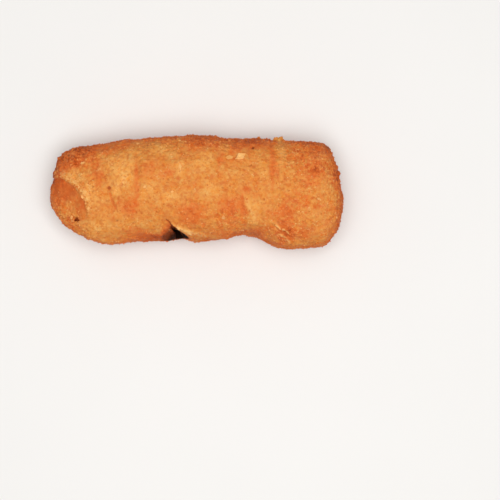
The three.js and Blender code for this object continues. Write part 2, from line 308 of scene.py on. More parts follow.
# Crumbs that stick out of the back and the blunt end: a place behind each, with its height, the way out, the
# size and the tone.
TO_BACK = Vector((0.0, 1.0, 0.0))
TO_BLUNT_END = Vector((1.0, 0.0, 0.0))
STRAY_CRUMBS = (
    ((30.9, 0.0, 17.0), TO_BACK, 2.4, 0.2),
    ((32.3, 0.0, 15.5), TO_BACK, 2.7, 0.1),
    ((31.6, 0.0, 18.5), TO_BACK, 2.0, 0.3),
    ((33.4, 0.0, 16.5), TO_BACK, 1.3, 0.0),
    ((24.0, 0.0, 17.0), TO_BACK, 1.1, -0.2),
    ((45.0, 10.6, 17.5), TO_BLUNT_END, 1.7, -0.9),
    ((45.0, 9.2, 15.5), TO_BLUNT_END, 2.1, -0.8),
    ((45.0, 8.6, 19.0), TO_BLUNT_END, 1.5, -0.6),
    ((45.0, 7.0, 17.0), TO_BLUNT_END, 2.2, -0.9),
    ((45.0, 5.6, 16.0), TO_BLUNT_END, 1.6, -0.7),
    ((45.0, 4.0, 18.0), TO_BLUNT_END, 1.8, -0.5),
)


# ---- Properties ----


def length(name, description, size):
    return FloatProperty(name=name, description=description, default=size, unit="LENGTH")


def colour(name, description, code):
    return FloatVectorProperty(
        name=name, description=description, default=srgb(code), subtype="COLOR", size=3, min=0.0, max=1.0
    )


class RollForm(bpy.types.PropertyGroup):
    """Sizes of the crust's mesh and relief"""

    grain: length("Grain", "Size of the faces of the crust's mesh", 0.39 * MM)
    kept: FloatProperty(name="Kept Faces", description="Share of the faces that are kept", default=0.79)
    rounding: IntProperty(name="Rounding", description="Passes that round off the solid's facets", default=26)
    swell: length("Swell", "Height of the broad unevenness", 0.36 * MM)
    rings: length("Rings", "Height of the folds round the roll", 0.22 * MM)
    blister: length("Blister", "Height of the blisters", 0.26 * MM)
    crumb: length("Crumb", "Height of the crumb in the crust", 0.5 * MM)
    grit: length("Grit", "Height of the finest roughness", 0.22 * MM)


class RollCrumbs(bpy.types.PropertyGroup):
    """Sizes and numbers of the loose crumbs that stick to the crust"""

    fine_size: length("Fine Size", "Width of a fine crumb", 0.75 * MM)
    fine_density: FloatProperty(
        name="Fine Density", description="Fine crumbs on a square millimetre", default=1.3
    )
    fine_faces: IntProperty(name="Fine Faces", description="Faces of a fine crumb", default=18)
    coarse_size: length("Coarse Size", "Width of a coarse crumb", 1.5 * MM)
    coarse_density: FloatProperty(
        name="Coarse Density", description="Coarse crumbs on a square millimetre", default=0.12
    )
    coarse_faces: IntProperty(name="Coarse Faces", description="Faces of a coarse crumb", default=40)
    stray_faces: IntProperty(name="Stray Faces", description="Faces of a crumb that sticks out", default=60)
    seed: IntProperty(name="Seed", description="Start of the random draws", default=4)


class RollColours(bpy.types.PropertyGroup):
    """Colours of the crust, from the palest flake to the darkest crack"""

    cream: colour("Cream", "Loose flakes", "f2ba74")
    # Pale and golden are also laid on convex edges and fold ridges as painted highlight.
    pale: colour("Pale", "Crumbs and lips that browned least", "f2c884")
    golden: colour("Golden", "The lightest of the crust", "e4a053")
    amber: colour("Amber", "The main colour of the crust", "d78b42")
    orange: colour("Orange", "Where the oil stayed longer", "d57133")
    # Toasted is also laid in hollows and between crumbs as painted shade.
    toasted_and_shade: colour("Toasted", "The browner back and ends", "bc5724")
    # Dark is also laid in deep hollows, creases and the split as painted shade.
    dark: colour("Dark", "Cracks and the edges of folds", "7a3616")
    # Near black for the split's walls and floor and beside it: mostly painted shade, with some burnt crust.
    scorch_and_shade: colour("Scorched", "The bottom of the split and the deepest pits", "180903")


class RollStage(bpy.types.PropertyGroup):
    """The floor, the lights and the camera"""

    floor: colour("Floor", "Colour of the floor", "e6e4e1")
    floor_width: length("Floor Width", "Width of the floor", 4.0)
    camera_height: length("Camera Height", "From the roll's mid height to the camera", 0.6)
    view_width: length("View Width", "Width of the view at the roll's mid height", 0.19)
    view_centre: FloatVectorProperty(
        name="View Centre",
        description="Where the camera looks down",
        default=(20.37 * MM, -21.97 * MM),
        size=2,
        unit="LENGTH",
    )
    key_power: FloatProperty(
        name="Key Light", description="Power of the main light", default=4.78, unit="POWER"
    )
    key_width: length("Key Width", "Width of the main light", 0.55)
    fill_power: FloatProperty(
        name="Fill Light", description="Power of the light overhead", default=2.9, unit="POWER"
    )
    fill_width: length("Fill Width", "Width of the light overhead", 0.9)
    sky: FloatProperty(name="Sky", description="Strength of the light from all round", default=0.32)


# ---- Node trees as expressions ----


def pick(sockets, key):
    """The socket at an index, or the first one in use with a name."""
    if isinstance(key, int):
        return sockets[key]
    return next(s for s in sockets if s.name == key and s.enabled)


class Value:
    """What an output socket gives. Operators on it add Math nodes, or Vector Math nodes for a vector."""

    def __init__(self, graph, socket):
        self.graph = graph
        self.socket = socket

    def __add__(self, other):
        return self.graph.maths("ADD", self, other)

    def __sub__(self, other):
        return self.graph.maths("SUBTRACT", self, other)

    def __rsub__(self, other):
        return self.graph.maths("SUBTRACT", other, self)

    def __mul__(self, other):
        return self.graph.maths("MULTIPLY", self, other)

    def __truediv__(self, other):
        return self.graph.maths("DIVIDE", self, other)

    def __rtruediv__(self, other):
        return self.graph.maths("DIVIDE", other, self)

    def __pow__(self, other):
        return self.graph.maths("POWER", self, other)

    __radd__ = __add__
    __rmul__ = __mul__


class Made:
    """A node that was added. Indexing it by an output's name or number gives that output's value."""

    def __init__(self, graph, node):
        self.graph = graph
        self.node = node

    def __getitem__(self, key):
        return Value(self.graph, pick(self.node.outputs, key))


class Graph:
    """Adds nodes to a material's or a modifier's node tree."""

    def __init__(self, tree):
        self.tree = tree

    def add(self, kind, settings=None, inputs=None):
        """A node of a kind, with its settings set first and then its sockets given values or links."""
        node = self.tree.nodes.new(kind)
        for name, value in (settings or {}).items():
            if name == "stops":
                self.set_stops(node.color_ramp, value)
            else:
                setattr(node, name, value)
        for key, value in (inputs or {}).items():
            self.feed(pick(node.inputs, key), value)
        return Made(self, node)

    def feed(self, socket, value):
        if isinstance(value, Value):
            self.tree.links.new(value.socket, socket)
        elif socket.type == "RGBA":
            socket.default_value = (*value[:3], 1.0)
        else:
            socket.default_value = value

    def set_stops(self, ramp, stops):
        for i, (place, shade) in enumerate(stops):
            stop = ramp.elements[i] if i < 2 else ramp.elements.new(place)
            stop.position = place
            stop.color = (*shade[:3], 1.0)

    def maths(self, operation, *values):
        vector = any(isinstance(v, Value) and v.socket.type in ("VECTOR", "RGBA") for v in values)
        kind = "ShaderNodeVectorMath" if vector else "ShaderNodeMath"
        if vector:
            values = [(v,) * 3 if isinstance(v, (int, float)) else v for v in values]
        return self.add(kind, {"operation": operation}, dict(enumerate(values)))[0]

    def least(self, a, b):
        return self.maths("MINIMUM", a, b)

    def most(self, a, b):
        return self.maths("MAXIMUM", a, b)

    def smooth(self, value, low, high):
        """0 below low and 1 above high, with a soft change between. It falls where high is below low."""
        inputs = {"Value": value, "From Min": low, "From Max": high}
        return self.add("ShaderNodeMapRange", {"interpolation_type": "SMOOTHSTEP"}, inputs)["Result"]

    def mix(self, share, a, b):
        """Colour a, going over to colour b as share goes from 0 to 1."""
        settings = {"data_type": "RGBA", "clamp_factor": True}
        return self.add("ShaderNodeMix", settings, {"Factor": share, "A": a, "B": b})["Result"]

    def axes(self, vector):
        """The x, y and z of a vector."""
        split = self.add("ShaderNodeSeparateXYZ", {}, {"Vector": vector})
        return split["X"], split["Y"], split["Z"]

    def noise(self, place, size, detail=1.0, seed=0.0, roughness=0.5):
        """Soft noise round 0, mostly from -1 to 1, with lumps of about a size."""
        inputs = {"Vector": place + (seed, 2.7 * seed, -1.3 * seed), "Scale": 1.0 / size, "Detail": detail}
        inputs["Roughness"] = roughness
        return (self.add("ShaderNodeTexNoise", {}, inputs)["Fac"] - 0.5) * 3.0

    def warped(self, place, size, reach):
        """A place that is moved about, so that what is drawn there loses its straight edges."""
        inputs = {"Vector": place, "Scale": 1.0 / size, "Detail": 2.0}
        shift = self.add("ShaderNodeTexNoise", {}, inputs)["Color"]
        return place + (shift - (0.5, 0.5, 0.5)) * (2.0 * reach)

    def cells(self, place, size, feature="F1"):
        """Rounded cells of about a size: 1 at the middle of each, and down to 0 at its rim."""
        inputs = {"Vector": place, "Scale": 1.0 / size}
        if feature == "SMOOTH_F1":
            inputs["Smoothness"] = 0.35
        distance = self.add("ShaderNodeTexVoronoi", {"feature": feature}, inputs)["Distance"]
        return self.most(1.0 - distance * 1.5, 0.0)

    def round(self, flat, centre, radii):
        """1 at a centre and softly down to 0 a little past the radii, for places with no height."""
        out = (flat - (*centre, 0.0)) / (*radii, 1.0)
        away = self.add("ShaderNodeVectorMath", {"operation": "LENGTH"}, {0: out})["Value"]
        return self.smooth(away, 1.2, 0.2)

    def reach(self, x, y, centre):
        """How far a place seen from above is from a centre."""
        dx, dy = x - centre[0], y - centre[1]
        return self.maths("SQRT", dx * dx + dy * dy)

    def beside(self, x, y, start, end, width):
        """1 on the line between two places seen from above, and down to 0 at a width from it."""
        (x0, y0), (x1, y1) = start, end
        length = math.hypot(x1 - x0, y1 - y0)
        ux, uy = (x1 - x0) / length, (y1 - y0) / length
        along = (x - x0) * ux + (y - y0) * uy
        across = (y - y0) * ux - (x - x0) * uy
        past = self.most(self.most(0.0 - along, along - length), 0.0)
        return self.smooth(self.maths("SQRT", across * across + past * past), width, 0.0)


# ---- The crust's relief ----

# What a place is multiplied by to take away its height.
FLAT = (1.0, 1.0, 0.0)
# How many times a skin is smoothed before it is compared with the crust, for small and for broad hollows.
NEAR_PASSES = 70
FAR_PASSES = 320


def drawn_round(place, share):
    """A place that draws a pattern out into rings round the roll, which lies along x."""
    return place * (1.0, share, share)


def stored(graph, geometry, name, value):
    settings = {"data_type": "FLOAT", "domain": "POINT"}
    inputs = {"Geometry": geometry, "Name": name, "Value": value}
    return graph.add("GeometryNodeStoreNamedAttribute", settings, inputs)["Geometry"]


def read(graph, name):
    return graph.add("GeometryNodeInputNamedAttribute", {"data_type": "FLOAT"}, {"Name": name})["Attribute"]


def blurred(graph, value, passes, weight=1.0, kind="FLOAT"):
    inputs = {"Value": value, "Iterations": passes, "Weight": weight}
    return graph.add("GeometryNodeBlurAttribute", {"data_type": kind}, inputs)["Value"]


def placed(graph, geometry, position):
    return graph.add("GeometryNodeSetPosition", {}, {"Geometry": geometry, "Position": position})["Geometry"]


def below(graph, position, way, passes):
    """How far, in millimetres along a way, a place lies below the skin rounded off by some passes."""
    rounded = blurred(graph, position, passes, 1.0, "FLOAT_VECTOR")
    step = (rounded - position) * (1 / MM)
    return graph.add("ShaderNodeVectorMath", {"operation": "DOT_PRODUCT"}, {0: step, 1: way})["Value"]


def wrinkled(graph, x, y):
    """The rise of the wrinkles at a place, in millimetres."""
    total = 0.0
    for start, end, width, rise in WRINKLES:
        total = graph.beside(x, y, start, end, width) * rise + total
    return total


def summed(graph, flat, patches):
    """What some patches give together at a place, each with a centre, its radii and an amount."""
    total = 0.0
    for centre, radii, amount in patches:
        total = graph.round(flat, centre, radii) * amount + total
    return total


def patched(graph, flat, patches):
    """How far a place is in some patches, up to 1."""
    return graph.least(summed(graph, flat, patches), 1.0)


def browned(graph, along, edge):
    """How much an edge of the roll browned at a distance along an axis."""
    (start, end), share = edge
    return graph.smooth(along, start, end) * share


def toned(graph, spot, up):
    """The crust's tone from frying and painted shade, from -1 for browned to 1 for golden, and lower by the
    split.
    """
    spot = graph.warped(spot, 5.0, 1.8)
    x, y, z = graph.axes(spot)
    flat = spot * FLAT
    on_top = graph.smooth(z, *TONE_HEIGHTS) * (graph.smooth(up, -0.1, 0.45) * 0.5 + 0.5)
    by_hand = summed(graph, flat, TONES) * on_top
    # Browner beside the split, with painted shade.
    by_split = summed(graph, flat, SPLIT_BROWNING_AND_SHADE) * graph.smooth(z, *SPLIT_TONE_HEIGHTS)
    ends = browned(graph, x, BROWN_TUCKED_END) + browned(graph, x, BROWN_BLUNT_END)
    # Steep sides go browner: partly browning, partly painted shade.
    steep = up + graph.noise(spot, size=9.0, detail=2.0, seed=3.1) * 0.1
    sides = graph.smooth(steep, 0.6, 0.0) * SIDES_BROWNED_AND_SHADED
    brown_and_shade = graph.least(browned(graph, y, BROWN_BACK) + ends + sides, MOST_BROWNED)
    toasted_and_shade, golden = TONE_RANGE
    return graph.most(graph.least(by_hand - brown_and_shade, golden), toasted_and_shade) + by_split


def split_walls(graph, spot):
    """1 on the walls and the floor of the split under the flap, and 0 elsewhere."""
    x, y, z = graph.axes(spot)
    tip_x, tip_y, tip_z = SPLIT_TIP
    down = graph.least(graph.most((tip_z - z) / (tip_z - SPLIT_FLOOR), 0.0), 1.0)
    out = tip_y - y
    across = x - tip_x - down * down * SPLIT_LEAN
    narrow = 1.0 - down**3.0 * SPLIT_NARROWING
    past_wall = across - (out * SPLIT_WALL_SPREAD - out * out * SPLIT_WALL_BULGE) * narrow
    short_of_flap = out * SPLIT_FLAP_SPREAD * narrow - across
    between = graph.smooth(past_wall, -0.7, 0.0) * graph.smooth(short_of_flap, -0.7, 0.0)
    reach = graph.smooth(out, *SPLIT_START) * graph.smooth(out, *SPLIT_END)
    return between * reach * graph.smooth(z, SPLIT_FLOOR - 2.0, SPLIT_FLOOR - 0.5)


def tucked_band(graph, x, y):
    """1 on the smooth band inside the tucked end's lip, and 0 elsewhere."""
    _, middle = TUCK_CENTRE
    within = graph.smooth(graph.reach(x, y, TUCK_CENTRE), TUCK_LIP + 0.2, TUCK_LIP - 0.8)
    past = graph.smooth(graph.reach(x, y, TUCK_DISC), TUCK_DISC_RADIUS - 0.9, TUCK_DISC_RADIUS + 1.1)
    return within * past * graph.smooth(y, middle - 2.5, middle + 1.0) * graph.smooth(x, *TUCK_BAND_FADE)


def tuck_lip(graph, x, y):
    """1 on the tucked end's ragged lip, and 0 elsewhere."""
    _, middle = TUCK_CENTRE
    reach = graph.reach(x, y, TUCK_CENTRE)
    inner = graph.smooth(reach, TUCK_LIP - 0.9, TUCK_LIP + 0.2)
    outer = graph.smooth(reach, TUCK_LIP + 2.6, TUCK_LIP + 0.4)
    return inner * outer * graph.smooth(y, middle - 1.0, middle + 3.0) * graph.smooth(x, *TUCK_LIP_FADE)


def as_seen(graph, spot, stage):
    """Where the camera sees a place, at the roll's mid height: higher places show further from its centre."""
    _, _, z = graph.axes(spot)
    distance = stage.camera_height / MM
    middle = MID_HEIGHT / MM
    centre = (stage.view_centre[0] / MM - ORIGIN[0], stage.view_centre[1] / MM - ORIGIN[1], middle)
    return (spot - centre) * (distance / (distance + middle - z)) + centre


def rounded_off(graph, surface, position, spot, form):
    """The solid with its facets rounded off, but hardly along its sharp edges and by the split."""
    angle = graph.add("GeometryNodeInputMeshEdgeAngle")["Unsigned Angle"]
    creased = blurred(graph, graph.smooth(angle, math.radians(18), math.radians(40)), 3)
    surface = stored(graph, surface, "sharp", graph.smooth(creased, 0.05, 0.35))
    surface = stored(graph, surface, "split", split_walls(graph, spot))
    x, y, z = graph.axes(spot)
    at_tip = graph.smooth(graph.reach(x, y, SPLIT_TIP), 3.0, 1.6) * graph.smooth(z, 18.0, 22.0)
    near = graph.smooth(blurred(graph, read(graph, "split"), 8), 0.0, 0.3)
    surface = stored(graph, surface, "by_split", graph.most(near, at_tip))
    held = graph.most(read(graph, "sharp") * 0.8, read(graph, "by_split") * 0.92)
    return placed(graph, surface, blurred(graph, position, form.rounding, 1.0 - held, "FLOAT_VECTOR"))


def hollows(graph, surface, position, normal):
    """Stores how far the skin lies below what is around it, and keeps the split's mark to its hollow."""
    surface = stored(graph, surface, "cavity", below(graph, position, normal, NEAR_PASSES))
    broad_normal = graph.maths("NORMALIZE", blurred(graph, normal, FAR_PASSES, 1.0, "FLOAT_VECTOR"))
    surface = stored(graph, surface, "deep", below(graph, position, broad_normal, FAR_PASSES))
    inside = read(graph, "split") * graph.smooth(read(graph, "cavity"), -0.45, -0.1)
    return stored(graph, surface, "split", inside)


def marks(graph, surface, spot, up, stage):
    """Stores all that is placed one by one. Warping takes the straight edges off each."""
    _, _, z = graph.axes(spot)
    above = graph.smooth(z, *RELIEF_HEIGHTS)
    seen = as_seen(graph, spot, stage)
    spots = graph.warped(seen, 1.4, 0.5) * FLAT
    patches = graph.warped(seen, 4.0, 2.0) * FLAT
    x, y, _ = graph.axes(graph.warped(seen, 2.6, 0.7))
    tuck_x, tuck_y, _ = graph.axes(graph.warped(spot, 2.6, 1.1))
    blushes = [(centre, (radius, radius), 1.0) for centre, radius in BLUSHES]
    pits = [(centre, (radius, radius), depth) for centre, radius, depth in PITS]
    for name, value in (
        ("tone", toned(graph, seen, up)),
        # Painted shade by the split, where the crust turns under.
        ("gloom", patched(graph, spots, SPLIT_SHADE) * graph.smooth(z, *SPLIT_SHADE_HEIGHTS)),
        ("blush", patched(graph, spots, blushes) * above),
        ("crumbly", patched(graph, patches, CRUMBLY) * above),
        ("fold", wrinkled(graph, x, y) * above),
        ("pit", summed(graph, seen * FLAT, pits) * above),
        ("band", tucked_band(graph, tuck_x, tuck_y) * above),
        ("lip", tuck_lip(graph, tuck_x, tuck_y) * above),
    ):
        surface = stored(graph, surface, name, value)
    return surface


def raised(graph, surface, position, normal, form):
    """The crust with its relief: swells, folds, blisters, crumb and grit, and what is placed one by one."""
    place = position * (1 / MM)
    smoothed = graph.most(read(graph, "band") * 0.5, read(graph, "by_split") * 0.8)
    rough = (1.0 - smoothed) * (read(graph, "crumbly") * 0.45 + 1.0)
    clusters = graph.smooth(graph.noise(place, size=4.5, detail=2.0, seed=7.7), -0.6, 0.5) * 0.75 + 0.25
    grains = graph.cells(place, 1.45, "SMOOTH_F1") * 0.65 + graph.cells(place + (40.0, 0.0, 0.0), 0.95) * 0.45
    grain = (grains * clusters + read(graph, "lip") * 0.4) * rough
    surface = stored(graph, surface, "grain", grain)
    height = (
        graph.noise(place, size=8.0, seed=1.3) * (form.swell / MM)
        + graph.noise(drawn_round(place, 0.22), size=2.6, seed=11.3) * (form.rings / MM)
        + graph.noise(place, size=3.1, seed=5.9) * (form.blister / MM) * rough
        + (read(graph, "grain") - 0.3) * (form.crumb / MM)
        + graph.noise(place, size=0.9, seed=9.4) * (form.grit / MM) * rough
        + read(graph, "fold")
        + read(graph, "lip") * TUCK_LIP_RISE
        - read(graph, "band") * TUCK_BAND_DEPTH
        - read(graph, "pit")
    )
    x, y, z = graph.axes(position + normal * (height * MM))
    resting = graph.add("ShaderNodeCombineXYZ", {}, {"X": x, "Y": y, "Z": graph.most(z, 0.0)})["Vector"]
    return placed(graph, surface, resting)


def crust_tree(graph, form, stage):
    """Rounds off the solid's facets, stores what the relief and the finish read, and raises the relief."""
    surface = graph.add("NodeGroupInput")["Geometry"]
    position = graph.add("GeometryNodeInputPosition")["Position"]
    normal = graph.add("GeometryNodeInputNormal")["Normal"]
    _, _, up = graph.axes(normal)
    spot = position * (1 / MM) - (*ORIGIN, 0.0)
    surface = rounded_off(graph, surface, position, spot, form)
    surface = hollows(graph, surface, position, normal)
    surface = marks(graph, surface, spot, up, stage)
    surface = raised(graph, surface, position, normal, form)
    graph.add("NodeGroupOutput", {}, {"Geometry": surface})


def chosen(graph, kind, least, most, seed):
    """A random value of a kind for each crumb."""
    inputs = {"Min": least, "Max": most, "Seed": seed}
    return graph.add("FunctionNodeRandomValue", {"data_type": kind}, inputs)["Value"]


def scatter_tree(graph, crust, size, density, clumping, flat, sunk, seed):
    """Scatters the crumb that the object holds over the crust, each turned, sized and dented in its own way.

    The higher clumping is, the fewer places have crumbs. Flat crumbs lie down. sunk is how deep a crumb's
    middle sits in the crust, as a share of its size.
    """
    crumb = graph.add("NodeGroupInput")["Geometry"]
    surface = graph.add("GeometryNodeObjectInfo", {}, {"Object": crust})["Geometry"]
    place = graph.add("GeometryNodeInputPosition")["Position"] * (1 / MM)
    _, _, z = graph.axes(place)

    lumps = graph.noise(place, size=3.4, detail=2.0, seed=seed)
    clumps = graph.smooth(lumps, clumping - 0.7, clumping + 0.7)
    edges = read(graph, "crumbly") * 0.9 + read(graph, "lip") * 1.5
    whole = graph.smooth(read(graph, "fold") - read(graph, "pit"), -0.5, -0.15)
    bare = (1.0 - read(graph, "by_split")) * (1.0 - read(graph, "band") * 0.8) * whole
    thickly = (clumps + edges) * bare * graph.smooth(z, 1.2, 3.0)
    points = graph.add(
        "GeometryNodeDistributePointsOnFaces",
        {"distribute_method": "RANDOM"},
        {"Mesh": surface, "Density": thickly * (density / MM**2), "Seed": seed},
    )
    lowered = {"Geometry": points["Points"], "Offset": points["Normal"] * (-sunk * size)}
    spots = graph.add("GeometryNodeSetPosition", {}, lowered)["Geometry"]
    spots = stored(graph, spots, "tint", chosen(graph, "FLOAT", -1.0, 1.0, seed + 1))
    least, most = ((-0.5, -0.5, 0.0), (0.5, 0.5, math.tau)) if flat else ((0.0,) * 3, (math.tau,) * 3)
    turn = {"Rotation": points["Rotation"], "Rotate By": chosen(graph, "FLOAT_VECTOR", least, most, seed + 2)}
    turned = graph.add("FunctionNodeRotateRotation", {"rotation_space": "LOCAL"}, turn)["Rotation"]
    scale = chosen(graph, "FLOAT", 0.5, 1.0, seed + 3)
    copies = {"Points": spots, "Instance": crumb, "Rotation": turned, "Scale": scale}
    crumbs = graph.add("GeometryNodeInstanceOnPoints", {}, copies)["Instances"]
    crumbs = graph.add("GeometryNodeRealizeInstances", {}, {"Geometry": crumbs})["Geometry"]
    dents = graph.add("ShaderNodeTexNoise", {}, {"Vector": place, "Scale": MM / size, "Detail": 0.0})["Color"]
    dented = {"Geometry": crumbs, "Offset": (dents - (0.5, 0.5, 0.5)) * (0.9 * size)}
    crumbs = graph.add("GeometryNodeSetPosition", {}, dented)["Geometry"]
    graph.add("NodeGroupOutput", {}, {"Geometry": crumbs})


# ---- Finishes ----

# Tones that the crust's colour ramp spans, with 0 in its middle.
TONE_SPAN = 3.0
# How strongly each finish shines, and the colour of the floor's wear.
CRUST_SHEEN = 0.06
FLAKE_SHEEN = 0.15
FLOOR_SHEEN = 0.2
FLOOR_WEAR = (0.6, 0.59, 0.58)


def attribute(graph, name):
    return graph.add("ShaderNodeAttribute", {"attribute_type": "GEOMETRY", "attribute_name": name})["Fac"]


def layered(graph, shade, layers):
    """A colour with others laid over it in turn, each by its share."""
    for share, over in layers:
        shade = graph.mix(share, shade, over)
    return shade


def plain_finish(graph, shade, rough, sheen, normal=None):
    """A shader with a colour, a roughness and a sheen, and bumps where it is given any."""
    inputs = {"Base Color": shade, "Roughness": rough, "Specular IOR Level": sheen}
    if normal is not None:
        inputs["Normal"] = normal
    return graph.add("ShaderNodeBsdfPrincipled", {}, inputs)["BSDF"]


def fried(graph, tone, colours):
    """The colour that a tone of frying gives."""
    stops = (
        (-1.5, colours.dark),
        (-1.0, colours.toasted_and_shade),
        (-0.5, colours.orange),
        (0.05, colours.amber),
        (0.75, colours.golden),
        (1.5, colours.pale),
    )
    ramp = {"stops": [(at / TONE_SPAN + 0.5, shade) for at, shade in stops]}
    return graph.add("ShaderNodeValToRGB", ramp, {"Fac": tone / TONE_SPAN + 0.5})["Color"]


def crust_colour(graph, place, colours, speck, gilding=0.0):
    """The crust's own colour at a place.

    speck is from -1 to 1, darker to paler. gilding makes it more golden where the crumb is thick.
    """
    crumbly = attribute(graph, "crumbly")
    tone = attribute(graph, "tone") + crumbly * gilding
    broad = graph.noise(place, size=4.5, detail=3.0, seed=2.2, roughness=0.6) * 0.27
    rings = graph.noise(drawn_round(place, 0.25), size=2.8, detail=2.0, seed=17.5) * 0.15
    small = graph.noise(place, size=1.6, detail=3.0, seed=8.8, roughness=0.7) * (crumbly * 0.7 + 0.4)
    paler = graph.smooth(speck, 0.2, 1.2) * (graph.smooth(tone, -1.1, 0.1) * 0.5 + 0.15)
    darker = graph.smooth(speck, -0.25, -1.1) * 0.75
    shade = fried(graph, tone + broad + rings + small, colours)
    shade = layered(graph, shade, ((paler, colours.pale), (darker, colours.toasted_and_shade)))
    fine_hue = graph.noise(place, size=0.9, detail=2.0, seed=21.0, roughness=0.7)
    hue = fine_hue + graph.noise(place, size=2.6, detail=2.0, seed=23.0)
    tinge = {"X": 1.0, "Y": hue * 0.17 + 1.0, "Z": hue * 0.42 + 1.0}
    return shade * graph.add("ShaderNodeCombineXYZ", {}, tinge)["Vector"]


def shaded_by_split(graph, shade, colours):
    """How much shade is painted by the split, and a colour darkened there by that painted shade."""
    gloom = attribute(graph, "gloom")
    dark = graph.smooth(gloom, 0.0, 0.5)
    scorch_and_shade = graph.smooth(gloom, 0.25, 1.0) * 0.85
    return gloom, layered(graph, shade, ((dark, colours.dark), (scorch_and_shade, colours.scorch_and_shade)))


def finished(name, build, colours):
    """A material with a name, whose shader a function builds."""
    material = bpy.data.materials.new(name)
    material.use_nodes = True
    material.node_tree.nodes.clear()
    graph = Graph(material.node_tree)
    place = graph.add("ShaderNodeTexCoord")["Object"] * (1 / MM)
    shader = build(graph, place, colours)
    graph.add("ShaderNodeOutputMaterial", {}, {"Surface": shader})
    return material


def crust_shader(graph, place, colours):
    """Golden dough and crumb under a thin film of oil, pale on its lips and dark in its cracks."""
    # Painted highlight lies on convex edges and fold ridges, and painted shade in hollows, creases and the
    # split.
    band, lip, fold, split = (attribute(graph, name) for name in ("band", "lip", "fold", "split"))
    cavity, deep, pit, grain = (attribute(graph, name) for name in ("cavity", "deep", "pit", "grain"))
    fine = graph.noise(place, size=0.5, detail=2.0, seed=4.5, roughness=0.7)
    coarse = graph.noise(place, size=1.3, detail=2.0, seed=6.1, roughness=0.7)
    patches = graph.smooth(coarse + graph.noise(place, size=3.2, detail=2.0, seed=14.1), 1.2, -0.9)
    flecks = graph.smooth(fine + coarse, -0.5, 0.6)
    # Convex edges get pale flecks: painted highlight.
    edges = graph.smooth(cavity, -0.12, -0.5) * (1.0 - attribute(graph, "by_split"))
    over_dough = (
        (band * patches * 0.6, colours.toasted_and_shade),
        (lip * 0.55, colours.golden),
        (lip * flecks * 0.4, colours.pale),
        # Fold ridges paler and creases darker: partly painted highlight and painted shade, partly the crust's
        # own tone.
        (graph.smooth(fold, 0.05, 0.35) * 0.6, colours.golden),
        (graph.smooth(fold, 0.25, 0.6) * 0.55, colours.pale),
        (graph.smooth(fold, -0.05, -0.4) * 0.7, colours.orange),
        (graph.smooth(fold, -0.4, -0.8) * 0.85, colours.dark),
        # The low ground between crumbs is darkened: painted shade.
        (graph.smooth(grain, 0.16, 0.0) * 0.4, colours.toasted_and_shade),
        (edges * flecks * 0.5, colours.pale),
        # Hollows and deep hollows are darkened: painted shade.
        (graph.smooth(cavity, 0.05, 0.4) * 0.6, colours.toasted_and_shade),
        (graph.smooth(deep, 0.2, 1.1), colours.dark),
        (graph.smooth(pit, 0.08, 0.4) * 0.85, colours.dark),
        (attribute(graph, "blush") * 0.6, colours.toasted_and_shade),
    )
    # The split's walls and floor are darkened: mostly painted shade, with some burnt crust.
    in_split = (
        (graph.smooth(split, 0.0, 0.5), colours.dark),
        (graph.smooth(split, 0.3, 0.9), colours.scorch_and_shade),
    )
    shade = crust_colour(graph, place, colours, fine * 0.75 + coarse * 0.6)
    # Painted shade by the split darkens the crust there.
    gloom, shade = shaded_by_split(graph, layered(graph, shade, over_dough), colours)
    shade = layered(graph, shade, in_split)
    bump = graph.add("ShaderNodeBump", {}, {"Strength": 0.6, "Distance": 0.14 * MM, "Height": fine})["Normal"]
    dull = graph.smooth(graph.most(split, gloom), 0.0, 0.5) * 0.35
    return plain_finish(graph, shade, graph.smooth(coarse, -1.0, 1.0) * 0.2 + 0.45 + dull, CRUST_SHEEN, bump)


def crumb_shader(graph, place, colours):
    """Loose crumb, each grain with its own shade."""
    shade = crust_colour(graph, place, colours, attribute(graph, "tint") * 0.8, gilding=0.35)
    # Painted shade by the split darkens the crumbs there too.
    _, shade = shaded_by_split(graph, shade, colours)
    rough = graph.noise(place, size=0.5, seed=1.9) * 0.1 + 0.55
    return plain_finish(graph, shade, rough, CRUST_SHEEN)


def flake_shader(graph, place, colours):
    """A pale flake of wrapper, more golden in patches."""
    patches = graph.smooth(graph.noise(place, size=0.8, detail=2.0, seed=3.3), 0.6, -0.8) * 0.5 + 0.5
    shade = graph.mix(patches * attribute(graph, "paleness"), colours.golden, colours.cream)
    rough = graph.noise(place, size=0.4, seed=5.2) * 0.1 + 0.5
    return plain_finish(graph, shade, rough, FLAKE_SHEEN)


def floor_shader(graph, place, stage):
    """A plain pale board, with hardly any unevenness."""
    worn = graph.smooth(graph.noise(place, size=60.0, detail=2.0), -1.0, 1.0)
    return plain_finish(graph, graph.mix(worn * 0.05, stage.floor, FLOOR_WEAR), 0.6, FLOOR_SHEEN)


# ---- Modelling steps ----

MERGE_REACH = 0.002 * MM
# A crumb's width along and across, as shares of its size, and how far its corners stray.
CRUMB_ALONG = 1.25
CRUMB_ACROSS = 0.9
CRUMB_STRAY = 0.12
# A flake's rounded rim as a share of its thickness, and how far its corners stray as a share of its width.
FLAKE_RIM = 0.3
FLAKE_STRAY = 0.07


def only(thing):
    """Selects one object alone and makes it active."""
    bpy.ops.object.select_all(action="DESELECT")
    thing.select_set(True)
    bpy.context.view_layer.objects.active = thing


def copy_of(node, name):
    """A free copy of a CAD node, with its loose triangles merged into one skin."""
    only(frame["nodes"][node])
    bpy.ops.object.duplicate()
    copy = bpy.context.view_layer.objects.active
    copy.name = copy.data.name = name
    copy.parent = None
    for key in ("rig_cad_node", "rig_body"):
        del copy[key]
    copy.data.materials.clear()
    bpy.ops.object.mode_set(mode="EDIT")
    bpy.ops.mesh.select_all(action="SELECT")
    bpy.ops.mesh.remove_doubles(threshold=MERGE_REACH)
    bpy.ops.object.mode_set(mode="OBJECT")
    return copy


